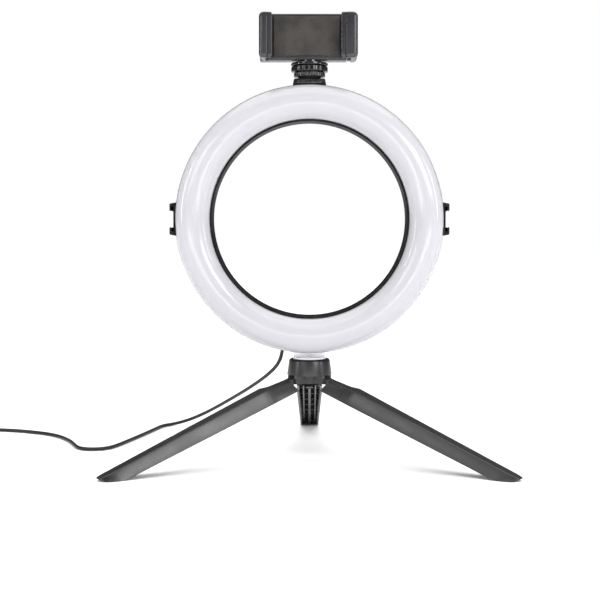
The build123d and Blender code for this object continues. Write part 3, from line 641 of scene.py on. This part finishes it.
legSizes = {
    "slope": math.radians(20.8), "hingeRadius": 13.0, "hingeZ": 60.8, "length": 166.5,
    # reach, ridge, half the top, edge, half the base, rounding
    "sections": np.array([[6.6, 1.9, 4.6, -6.8, 10.1, 2.4], [21.0, 2.75, 5.4, -6.9, 10.1, 2.4],
                          [27.4, 3.9, 6.4, -6.95, 10.1, 1.0], [158.5, 0.5, 4.8, -7.9, 8.05, 1.0]]),
    "hollowEnd": 158.0, "wall": 1.8, "knuckle": 2.6, "knuckleHalf": 4.0, "knuckleReach": 9.0,
    # half thickness, middle, bottom, first and last reach of each long rib
    "longRibs": ((0.9, 0.0, -6.2, 16.5, 158.5), (0.55, -4.7, -5.0, 9.0, 150.0),
                 (0.55, 4.7, -5.0, 9.0, 150.0)),
    "ribTop": 0.9,  # the ribs end this far under the ridge
    "crossRibs": range(30, 131, 20), "crossLow": -2.4, "crossInset": 3.4, "crossThick": 1.0,
    "bossReach": 13.5, "bossBore": 1.2, "bossRadius": 2.8, "bossLow": -6.0, "bossHeight": 7.4,
    "tipRound": 8.0, "tipShare": 0.55,  # the last part narrows in a quarter ellipse
    "slant": 0.30, "slantReach": 5.0,  # the near end leans in towards its lower edge
}


def legSpace(shape):
    # From (across, height, reach) to the tripod: reach runs down the slope from the hinge.
    c, s = math.cos(shape["slope"]), math.sin(shape["slope"])
    basis = np.array([[-1, 0, 0], [0, s, c], [0, c, -s]])
    origin = np.array([0, shape["hingeRadius"], shape["hingeZ"]])
    return lambda p: origin + p @ basis


def legChannel(shape):
    # Each row is one closed outline of the channel: over the outside, then back along the inside.
    # Past the hollow's end the inside lies on the base line. Near the tip the outline narrows by a
    # quarter ellipse, and the near end leans in towards its lower edge.
    end, tip = shape["hollowEnd"], shape["length"]
    reach = np.concatenate([[6.6, 8.0], np.linspace(10, 27.4, 8), np.linspace(32, end - 0.1, 27),
                            tip - shape["tipRound"] * (1 - np.sin(np.linspace(0, math.pi / 2, 14)))])
    table = shape["sections"]
    ridge, top, edge, base, rounding = (np.interp(reach, table[:, 0], table[:, k])
                                        for k in range(1, 6))
    past = np.clip(reach - (tip - shape["tipRound"]), 0, shape["tipRound"]) / shape["tipRound"]
    narrow = 1 - shape["tipShare"] * (1 - np.sqrt(np.clip(1 - past**2, 0, 1)))
    top, base = top * narrow, base * narrow
    hollow = (reach < end) & (reach > 7.5)
    wall = shape["wall"]
    innerTop = np.where(hollow, ridge - wall, edge + 0.02)
    corners = np.stack([
        np.stack([-base, edge], -1), np.stack([-top, ridge], -1),
        np.stack([top, ridge], -1), np.stack([base, edge], -1),
        np.stack([base - wall, edge + 0.01], -1), np.stack([top - 1.1, innerTop], -1),
        np.stack([1.1 - top, innerTop], -1), np.stack([wall - base, edge + 0.01], -1)], 1)
    radii = np.stack([0 * top + 0.3, rounding, rounding, 0 * top + 0.3] + [0 * top + 0.15] * 4, 1)
    outline = softCorners(corners, radii, 6)
    fade = np.clip(1 - (reach - reach[0]) / shape["slantReach"], 0, 1)[:, None]
    slanted = reach[:, None] - shape["slant"] * fade * (ridge[:, None] - outline[..., 1])
    return skin(np.concatenate([outline, slanted[..., None]], -1))


def legRib(shape, half, middle, bottom, first, last):
    # A thin wall along the hollow whose top follows the ridge.
    reach = np.linspace(first, last, 24)
    ridge = np.interp(reach, shape["sections"][:, 0], shape["sections"][:, 1]) - shape["ribTop"]
    low = 0 * reach + bottom
    left, right = 0 * reach + middle - half, 0 * reach + middle + half
    points = np.stack([np.stack([left, low, reach], -1), np.stack([right, low, reach], -1),
                       np.stack([right, ridge, reach], -1), np.stack([left, ridge, reach], -1)], 1)
    return skin(points)


def legParts(shape):
    # The channel, three long ribs, the cross ribs between them, a boss and the hinge's knuckle.
    parts = [legChannel(shape)] + [legRib(shape, *rib) for rib in shape["longRibs"]]
    for reach in shape["crossRibs"]:
        ridge, _, _, base = (np.interp(reach, shape["sections"][:, 0], shape["sections"][:, k])
                             for k in range(1, 5))
        half = base - shape["crossInset"]
        parts.append(softBlock((-half, half), (shape["crossLow"], ridge - shape["ribTop"]),
                               (reach, reach + shape["crossThick"]), 0.12, 3))
    bore, radius, height = shape["bossBore"], shape["bossRadius"], shape["bossHeight"]
    boss = softCorners([(bore, 0.0), (radius, 0.0), (radius, height), (bore, height)], 0.2, 4)
    parts.append(bar((0, shape["bossLow"], shape["bossReach"]), (0, 0, shape["bossReach"]),
                     np.concatenate([boss, boss[:1]]), 40))
    knuckle, half = shape["knuckle"], shape["knuckleHalf"]
    parts.append(softBlock((-half, half), (-knuckle, 1.9), (0.0, shape["knuckleReach"]), 0.4))
    parts.append(roundBar((-half, 0, 0), (half, 0, 0), knuckle, 0.3))
    place = legSpace(shape)

    def standing(points):
        # In the tripod's space the foot is flat where it stands: nothing is lower than the table.
        placed = place(points)
        return np.concatenate([placed[:, :2], np.maximum(placed[:, 2:], 0.0)], 1)

    return [changed(part, standing) for part in parts]


for name, degrees in (("Back", 0), ("Left", 120), ("Right", 240)):
    moved = [changed(part, turnAboutZ(degrees)) for part in legParts(legSizes)]
    makePiece("leg" + name, moved, "standPlastic", "leg_" + name.lower(),
              ["leg_" + name.lower()], sharp=30)
print("tripod made")


stack = {"stud": -11.5, "bore": 3.18}


def scallops(count, radius, cutter, beyond):
    # Round notches: a cutter of its own radius stands this far from the axis, once per notch.
    def dents(t):
        step = 2 * math.pi / count
        away = (t + step / 2) % step - step / 2
        across = beyond * np.sin(away)
        reach = beyond * np.cos(away) - np.sqrt(np.maximum(cutter**2 - across**2, 0))
        cut = np.where(np.abs(across) < cutter, radius - reach, 0)
        return np.clip(cut, 0, None)
    return dents


thumb = {"low": 290.3, "high": 294.8, "radius": 13.6, "edge": 0.7, "flutes": 20, "cutter": 1.3,
         "beyond": 14.74}
thumbOutline = softCorners(
    [(stack["bore"], thumb["low"]), (thumb["radius"] - thumb["edge"], thumb["low"]),
     (thumb["radius"], thumb["low"] + thumb["edge"]), (thumb["radius"], thumb["high"] - thumb["edge"]),
     (thumb["radius"] - thumb["edge"], thumb["high"]), (stack["bore"], thumb["high"])],
    [0.2, 0.4, 0.4, 0.4, 0.4, 0.2], 4)
thumbDents = scallops(thumb["flutes"], thumb["radius"], thumb["cutter"], thumb["beyond"])
makePiece("thumbWheel", [turned(thumbOutline, (0, stack["stud"]), 480, thumbDents)],
          "wheelPlastic", "thumb_wheel", ["thumb_wheel"])

lock = {"low": 285.3, "step": 287.0, "high": 290.0, "radius": 11.6, "flutes": 30, "cutter": 0.75,
        "beyond": 12.1}
lockOutline = softCorners(
    [(stack["bore"], lock["low"]), (7.4, lock["low"]), (9.2, lock["step"]),
     (lock["radius"], lock["step"]), (lock["radius"], lock["high"]), (stack["bore"], lock["high"])],
    [0.2, 0.3, 0.3, 0.3, 0.4, 0.2], 4)
lockDents = scallops(lock["flutes"], lock["radius"], lock["cutter"], lock["beyond"])
makePiece("lockWheel", [turned(lockOutline, (0, stack["stud"]), 480, lockDents)],
          "blackSteel", "lock_wheel", ["lock_wheel"])

foot = {
    "half": 9.15, "back": -4.6, "front": -20.1, "low": 281.85, "high": 283.65,
    "neckHalf": 6.1, "neckBack": -5.6, "neckFront": -19.1, "neckLow": 283.3, "neckHigh": 285.0,
}
adapterParts = [
    softBlock((-foot["half"], foot["half"]), (foot["front"], foot["back"]),
              (foot["low"], foot["high"]), 0.35),
    softBlock((-foot["neckHalf"], foot["neckHalf"]), (foot["neckFront"], foot["neckBack"]),
              (foot["neckLow"], foot["neckHigh"]), 0.3),
]
makePiece("adapterFoot", adapterParts, "wheelPlastic", "adapter", ["adapter_foot"])
makePiece("adapterStud", [threadedBar(threadSizes, stack["stud"])], "steel", "adapter",
          ["adapter_stud"])

clampFoot = {
    "outline": [(4.05, 295.2), (13.7, 295.2), (13.7, 297.2), (9.0, 297.2), (9.0, 298.95), (4.05, 298.95)],
    "rounding": [0.2, 0.5, 0.5, 0.3, 0.1, 0.1],
}
clampFootOutline = softCorners(clampFoot["outline"], clampFoot["rounding"])
makePiece("clampFoot", [turned(clampFootOutline, (0, stack["stud"]), 160)], "wheelPlastic",
          "clamp", ["clamp_foot"])

clampBlocks = {
    # x, y and z from and to, the rounding and its steps
    "frontPlate": ((-31.0, 27.6), (-17.0, -13.4), (298.9, 333.3), 1.2, 6),
    "lowWall": ((-31.0, 27.6), (-14.6, -7.0), (298.9, 306.3), 0.5),
    "highWall": ((-31.0, 27.6), (-14.6, -7.0), (331.5, 333.3), 0.4),
    "sideWall": ((-31.0, -27.0), (-14.6, -7.0), (305.0, 332.6), 0.4),
    "pad": ((-26.5, 22.6), (-18.2, -16.6), (301.9, 331.3), 0.5, 5),
    "jawRoot": ((-36.8, -30.9), (-13.0, -5.0), (298.9, 332.3), 0.5),
    "tongue": ((-16.0, 33.0), (-13.0, -7.4), (306.7, 331.1), 0.5),
    "web": ((28.0, 33.0), (-13.0, -7.4), (299.3, 307.2), 0.5),
}
block = {name: softBlock(*sizes) for name, sizes in clampBlocks.items()}
makePiece("clampFrame", [block["frontPlate"], block["lowWall"], block["highWall"], block["sideWall"]],
          "clampPlastic", "clamp", ["clamp_frame"])
makePiece("clampPad", [block["pad"]], "padRubber", "clamp", ["clamp_pad"])

jaws = {
    "front": -31.0, "back": -5.0, "low": 299.0, "high": 332.3, "wall": 3.6, "lip": 3.0, "round": 3.2,
    "right": (35.4, 12.1), "left": (37.0, 9.6),  # outside and the lip's width
    "strip": 3.2,  # the strip beside each jaw's groove
}


def jawParts(side, shape):
    # A wall and a lip bent round the phone's edge, as one outline carried up. Seen from the front
    # the lip is a pillow: its outer corner has a large round, and a groove runs up beside an inner
    # strip. Towards the top and the bottom the outline draws in by a quarter circle.
    outer, lip = shape["right" if side > 0 else "left"]
    inner, front = outer - lip, shape["front"]
    groove = inner + shape["strip"]
    corners = [(outer, front), (outer, shape["back"]), (outer - shape["wall"], shape["back"]),
               (outer - shape["wall"], front + shape["lip"]), (inner, front + shape["lip"]),
               (inner, front + 0.9), (groove - 0.5, front + 0.9), (groove, front + 1.5),
               (groove + 0.5, front)]
    loop = softCorners(corners, [2.9, 0.5, 0.4, 1.2, 0.5, 0.6, 0.25, 0.2, 0.8], 8)
    q = np.linspace(0, math.pi / 2, 8)
    low, high = shape["low"], shape["high"]
    z = np.concatenate([low + shape["round"] * (1 - np.cos(q)),
                        high - shape["round"] * (1 - np.cos(q[::-1]))])
    shrink = shape["round"] * np.concatenate([1 - np.sin(q), 1 - np.sin(q[::-1])])
    share = (loop[:, 0] - (outer - lip / 2)) / (lip / 2)
    x = loop[None, :, 0] - shrink[:, None] * np.clip(share, -0.25, 1)[None, :]
    y = loop[None, :, 1] + 0.35 * shrink[:, None] * (loop[None, :, 1] < front + 1.4)
    points = np.stack([x, y, 0 * x + z[:, None]], -1)
    if side < 0:
        points = points * np.array([-1, 1, 1])
    return [skin(points)]


makePiece("jawFixed", jawParts(-1, jaws) + [block["jawRoot"]], "clampPlastic",
          "clamp", ["jaw_left"])
makePiece("jawSliding", jawParts(1, jaws) + [block["tongue"], block["web"]], "clampPlastic",
          "jaw", ["jaw_right"])

springSizes = {"radius": 1.75, "wire": 0.25, "turns": 14, "left": -27.0, "right": -16.0, "y": -10.2,
               "heights": (312.3, 325.5)}


def springPath(shape, z):
    # A helix along x: y and z circle while x climbs.
    t = np.linspace(0, 2 * math.pi * shape["turns"], shape["turns"] * 18)
    x = np.linspace(shape["left"] + 0.3, shape["right"] - 0.3, len(t))
    return np.stack([x, shape["y"] + shape["radius"] * np.cos(t), z + shape["radius"] * np.sin(t)], -1)


springPieces = [tube(springPath(springSizes, z), springSizes["wire"], 8, (1.0, 0.0, 0.0))
                for z in springSizes["heights"]]
springs = makePiece("clampSprings", springPieces, "springSteel", None,
                    ["clamp_springs"], sharp=60)
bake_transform(springs)
print("adapter and clamp made")


lead = {
    "radius": 1.4, "length": 1.5, "floor": 1.45,
    "coilCentre": (-281.7, -22.0), "coilRadius": 17.95, "turnStep": 2.9, "turns": 7.5,
    "tieLift": 0.65, "plugX": -259.4, "plugLine": 4.2,
    "crossAngle": 285.0, "crossSpan": 45.0,  # where a turn moves to the next place beside it
    "climbAngle": 225.0, "climbSpan": 55.0,  # where a turn climbs to the upper layer
    "tieAngle": 90.0, "tieSpan": 35.0,  # where the coil lies on the tie
}
leadRoute = np.array(
    [(-20.6, 6.2, 88.67), (-20.6, 9.0, 87.5), (-20.6, 22.0, 82.0), (-23.5, 32.5, 69.0),
     (-33.0, 48.0, 57.5), (-50.0, 74.5, 43.0), (-68.0, 102.0, 29.5), (-85.0, 125.0, 17.5),
     (-98.0, 140.0, 9.6), (-108.5, 147.5, 4.6)]
    + [(x, y, lead["floor"]) for x, y in (
        (-120.5, 147.0), (-129.5, 138.5), (-133.5, 121.0), (-141.0, 90.0), (-149.0, 60.0),
        (-153.5, 44.0), (-157.5, 33.5), (-164.9, 27.3), (-174.6, 26.9), (-182.5, 32.0),
        (-188.0, 44.5), (-197.0, 67.0), (-215.0, 93.0), (-246.0, 111.0), (-276.0, 118.5),
        (-293.0, 113.0), (-302.0, 101.0))]
    + [(-304.0, 88.0, 2.5), (-304.1, 75.0, 3.7), (-304.0, 45.0, 3.2), (-304.0, 15.0, 3.7),
       (-304.0, 5.0, 2.6), (-304.0, -6.0, 1.6), (-304.0, -14.0, 1.5)])


def eased(angle, start, span):
    # 0 before the start and 1 after the span, with a smooth step 3s^2 - 2s^3 between.
    share = np.clip((angle - start) / span, 0, 1)
    return share * share * (3 - 2 * share)


def coilRoute(shape):
    # Turns beside each other, inwards on the table, then outwards on top. A turn moves to the next
    # place between two angles, and it climbs a little before that, so no two turns meet.
    t = np.arange(0, shape["turns"] * 24 + 1) * math.pi / 12
    turn = np.floor(t / (2 * math.pi) + 1e-9).astype(int)
    angle = np.degrees(t) - 360.0 * turn  # 0 at the side where the cord comes in
    columns = np.array([1.5, 0.5, -0.5, -1.5, -1.5, -0.5, 0.5, 1.5, 1.5])
    layers = np.array([0, 0, 0, 0, 1, 1, 1, 1, 1.0])
    across = eased(angle, shape["crossAngle"], shape["crossSpan"])
    climb = eased(angle, shape["climbAngle"], shape["climbSpan"])
    column = columns[turn] + (columns[turn + 1] - columns[turn]) * across
    layer = layers[turn] + (layers[turn + 1] - layers[turn]) * climb
    radius = shape["coilRadius"] + column * shape["turnStep"]
    overTie = shape["tieLift"] * np.exp(-((angle - shape["tieAngle"]) / shape["tieSpan"])**2)
    height = shape["floor"] + 0.05 + overTie + layer * (shape["turnStep"] + 0.05)
    around = math.pi + t
    return np.stack([shape["coilCentre"][0] + radius * np.cos(around),
                     shape["coilCentre"][1] + radius * np.sin(around), height], -1)


endRoute = np.array([(lead["plugX"], y, z) for y, z in ((-12.0, 4.3), (-2.0, 3.6), (8.0, 4.2), (11.0, 4.2))])


def splineLine(route, name):
    # One open spline through the route's control points, read back as a fine line of points.
    curve = bpy.data.curves.new(name, "CURVE")
    curve.dimensions, curve.resolution_u = "3D", 8
    line = curve.splines.new("NURBS")
    line.points.add(len(route) - 1)
    line.points.foreach_set("co", np.column_stack([route, np.ones(len(route))]).ravel())
    line.order_u, line.use_endpoint_u = 3, True
    holder = addObject(name, curve)
    bpy.context.view_layer.update()
    mesh = bpy.data.meshes.new_from_object(holder)
    points = np.zeros(len(mesh.vertices) * 3)
    mesh.vertices.foreach_get("co", points)
    bpy.data.objects.remove(holder)
    bpy.data.meshes.remove(mesh)
    points = points.reshape(-1, 3)
    step = np.linalg.norm(np.diff(points, axis=0), axis=1)
    return points[np.concatenate([[True], step > 1e-4])]


cordLine = splineLine(np.concatenate([leadRoute, coilRoute(lead), endRoute]), "leadLine")
cordPiece = makePiece("leadCord", [tube(cordLine, lead["radius"], 14)], "cordJacket",
                      None, ["cord_lead", "cord_tail", "cord_coil", "cord_end"], sharp=60)

glandSizes = {"start": (-20.6, -3.4, 92.67), "end": (-20.6, 9.0, 87.5), "root": 3.2, "tip": 2.1,
              "ribs": 5, "groove": 0.35}


def glandOutline(shape):
    # A cone with rings cut round it: the radius falls evenly and dips at each groove.
    length = np.linalg.norm(np.subtract(shape["end"], shape["start"]))
    s = np.linspace(0, 1, 81)
    dip = np.clip(np.cos(2 * math.pi * shape["ribs"] * s) * -1.6 - 0.4, 0, 1) * shape["groove"]
    radius = shape["root"] + (shape["tip"] - shape["root"]) * s - dip
    rim = np.array([[shape["tip"] - 0.4, length], [1.2, length]])
    return np.concatenate([[[1.2, 0.0]], np.stack([radius, s * length], -1), rim])


glandBar = bar(glandSizes["start"], glandSizes["end"], glandOutline(glandSizes), 40)
gland = makePiece("leadRelief", [glandBar], "cordJacket", "head", ["cord_gland"])

tie = {"half": 3.5, "wall": 0.6, "width": 11.9, "height": 6.1, "floor": 0.05}


def tieParts(shape):
    # A strap round the coil's near side: the outline's inside and outside carried across it.
    y = lead["coilCentre"][1] - lead["coilRadius"]
    x = lead["coilCentre"][0]
    z = shape["floor"] + shape["wall"] + shape["height"] / 2
    loops = []
    for grow, rounding in ((shape["wall"], 2.9), (0.0, 2.3)):
        w, h = shape["width"] / 2 + grow, shape["height"] / 2 + grow
        loops.append(softCorners([(y - w, z - h), (y + w, z - h), (y + w, z + h), (y - w, z + h)],
                                 rounding, 8))
    outer, inner = loops
    rows = [(outer, -shape["half"]), (outer, shape["half"]), (inner, shape["half"]),
            (inner, -shape["half"])]
    points = np.stack([np.column_stack([np.full(len(loop), x + across), loop])
                       for loop, across in rows])
    return [skin(points, wrapRows=True)]


tiePiece = makePiece("coilStrap", tieParts(tie), "tieStrap", "hub", ["coil_tie"])

grip = {"halfWidth": 7.5, "halfHeight": 4.0, "start": 8.0, "end": 30.0, "groove": 0.5, "grooves": 4}


def gripParts(shape):
    # A moulded grip: a rounded outline that pulls in at the grooves and at both ends.
    start, end = shape["start"], shape["end"]
    y = np.concatenate([[start, start + 0.15, start + 0.6, start + 1.2], np.linspace(10, 22, 61),
                        [26.0, end - 0.8, end - 0.2, end]])
    s = np.clip((y - 12.0) / 9.0, 0, 1)
    wave = np.cos(2 * math.pi * shape["grooves"] * s)
    dips = shape["groove"] * np.clip(-wave * 1.5 - 0.3, 0, 1)
    ends = np.interp(y, [start, start + 0.15, start + 0.6, start + 1.2, end - 0.8, end - 0.2, end],
                     [1.2, 0.7, 0.25, 0, 0, 0.2, 0.5])
    inset = dips + ends
    w, h = shape["halfWidth"] - inset, shape["halfHeight"] - inset
    corners = np.stack([np.stack([-w, -h], -1), np.stack([w, -h], -1), np.stack([w, h], -1),
                        np.stack([-w, h], -1)], 1)
    loop = softCorners(corners, 2.2, 7)
    points = np.stack([lead["plugX"] + loop[..., 0], y[:, None] + 0 * loop[..., 0],
                       lead["plugLine"] + loop[..., 1]], -1)
    return [skin(points)]


gripPiece = makePiece("plugGrip", gripParts(grip), "cordJacket", "hub", ["usb_grip"])

# Straight down, so that all of the lead that lies on the table stays with the tripod.
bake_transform(cordPiece)
print("lead made")

cameraSizes = {"lens": 69.0, "back": -0.8722, "height": 0.1699, "down": 1.47,
               "shiftX": -0.0158, "shiftY": -0.06}
cameraData = bpy.data.cameras.new("studioCamera")
cameraData.lens, cameraData.sensor_width = cameraSizes["lens"], 36.0
cameraData.shift_x, cameraData.shift_y = cameraSizes["shiftX"], cameraSizes["shiftY"]
camera = addObject("studioCamera", cameraData)
camera.location = (0.0, hubY + cameraSizes["back"], cameraSizes["height"])
camera.rotation_euler = (math.radians(90 - cameraSizes["down"]), 0, 0)
bpy.context.scene.camera = camera

floorMesh = bpy.data.meshes.new("studioFloor")
reach = 6.0
floorMesh.from_pydata([(-reach, -reach, -0.0002), (reach, -reach, -0.0002), (reach, reach, -0.0002),
                       (-reach, reach, -0.0002)], [], [(0, 1, 2, 3)])
floor = addObject("studioFloor", floorMesh)
floorLook = {"colour": (0.95, 0.95, 0.95), "drift": (0.96, 0.96, 0.96),
             "patternValues": {"Fine": 400.0, "Slow": 2.0}, "roughness": (0.75, 0.8), "bump": 0.01}
floorMesh.materials.append(makeFinish("paleFloor", floorLook))

lamps = [
    # name, place, aimed at, width, height, watts
    ("leftSoftbox", (-0.81, -1.11, 0.62), (0, hubY, 0.10), 0.42, 0.42, 2.6),
    ("rightSoftbox", (0.81, -1.11, 0.62), (0, hubY, 0.10), 0.55, 0.55, 7.8),
    ("leftStrip", (-0.98, -0.40, 0.42), (0, hubY, 0.16), 0.06, 0.50, 2.2),
    ("rightStrip", (0.98, -0.40, 0.42), (0, hubY, 0.16), 0.06, 0.50, 2.0),
    ("lowFront", (0.0, -1.30, 0.10), (0, hubY, 0.08), 1.60, 0.12, 3.2),
]
for name, place, target, width, height, watts in lamps:
    lampData = bpy.data.lights.new(name, "AREA")
    lampData.shape, lampData.size, lampData.size_y = "RECTANGLE", width, height
    lampData.energy = watts
    lamp = addObject(name, lampData)
    lamp.location = place
    away = np.subtract(place, target)
    flatLength = math.hypot(away[0], away[1])
    lamp.rotation_euler = (math.atan2(flatLength, away[2]), 0, math.atan2(away[0], -away[1]))

world = bpy.data.worlds.new("studioWorld")
bpy.context.scene.world = world
world.use_nodes = True
sky = world.node_tree
backdrop = sky.nodes["Background"]
backdrop.inputs["Color"].default_value = (1.0, 1.0, 1.0, 1.0)
rays = sky.nodes.new("ShaderNodeLightPath")
# The backdrop is white, the room's light on the object softer and its reflection darker.
level = addNode(sky, "ShaderNodeMapRange", **{"To Min": 0.55, "To Max": 1.0})
mirror = addNode(sky, "ShaderNodeMapRange", **{"To Max": 0.12})
sky.links.new(rays.outputs["Is Camera Ray"], level.inputs["Value"])
sky.links.new(rays.outputs["Is Glossy Ray"], mirror.inputs["Value"])
sky.links.new(level.outputs["Result"], mirror.inputs["To Min"])
sky.links.new(mirror.outputs["Result"], backdrop.inputs["Strength"])
sunData = bpy.data.lights.new("ceilingLight", "SUN")
sunData.energy, sunData.angle = 2.8, math.radians(80)
addObject("ceilingLight", sunData)
bpy.context.scene.view_settings.view_transform = "Standard"
print("studio made")
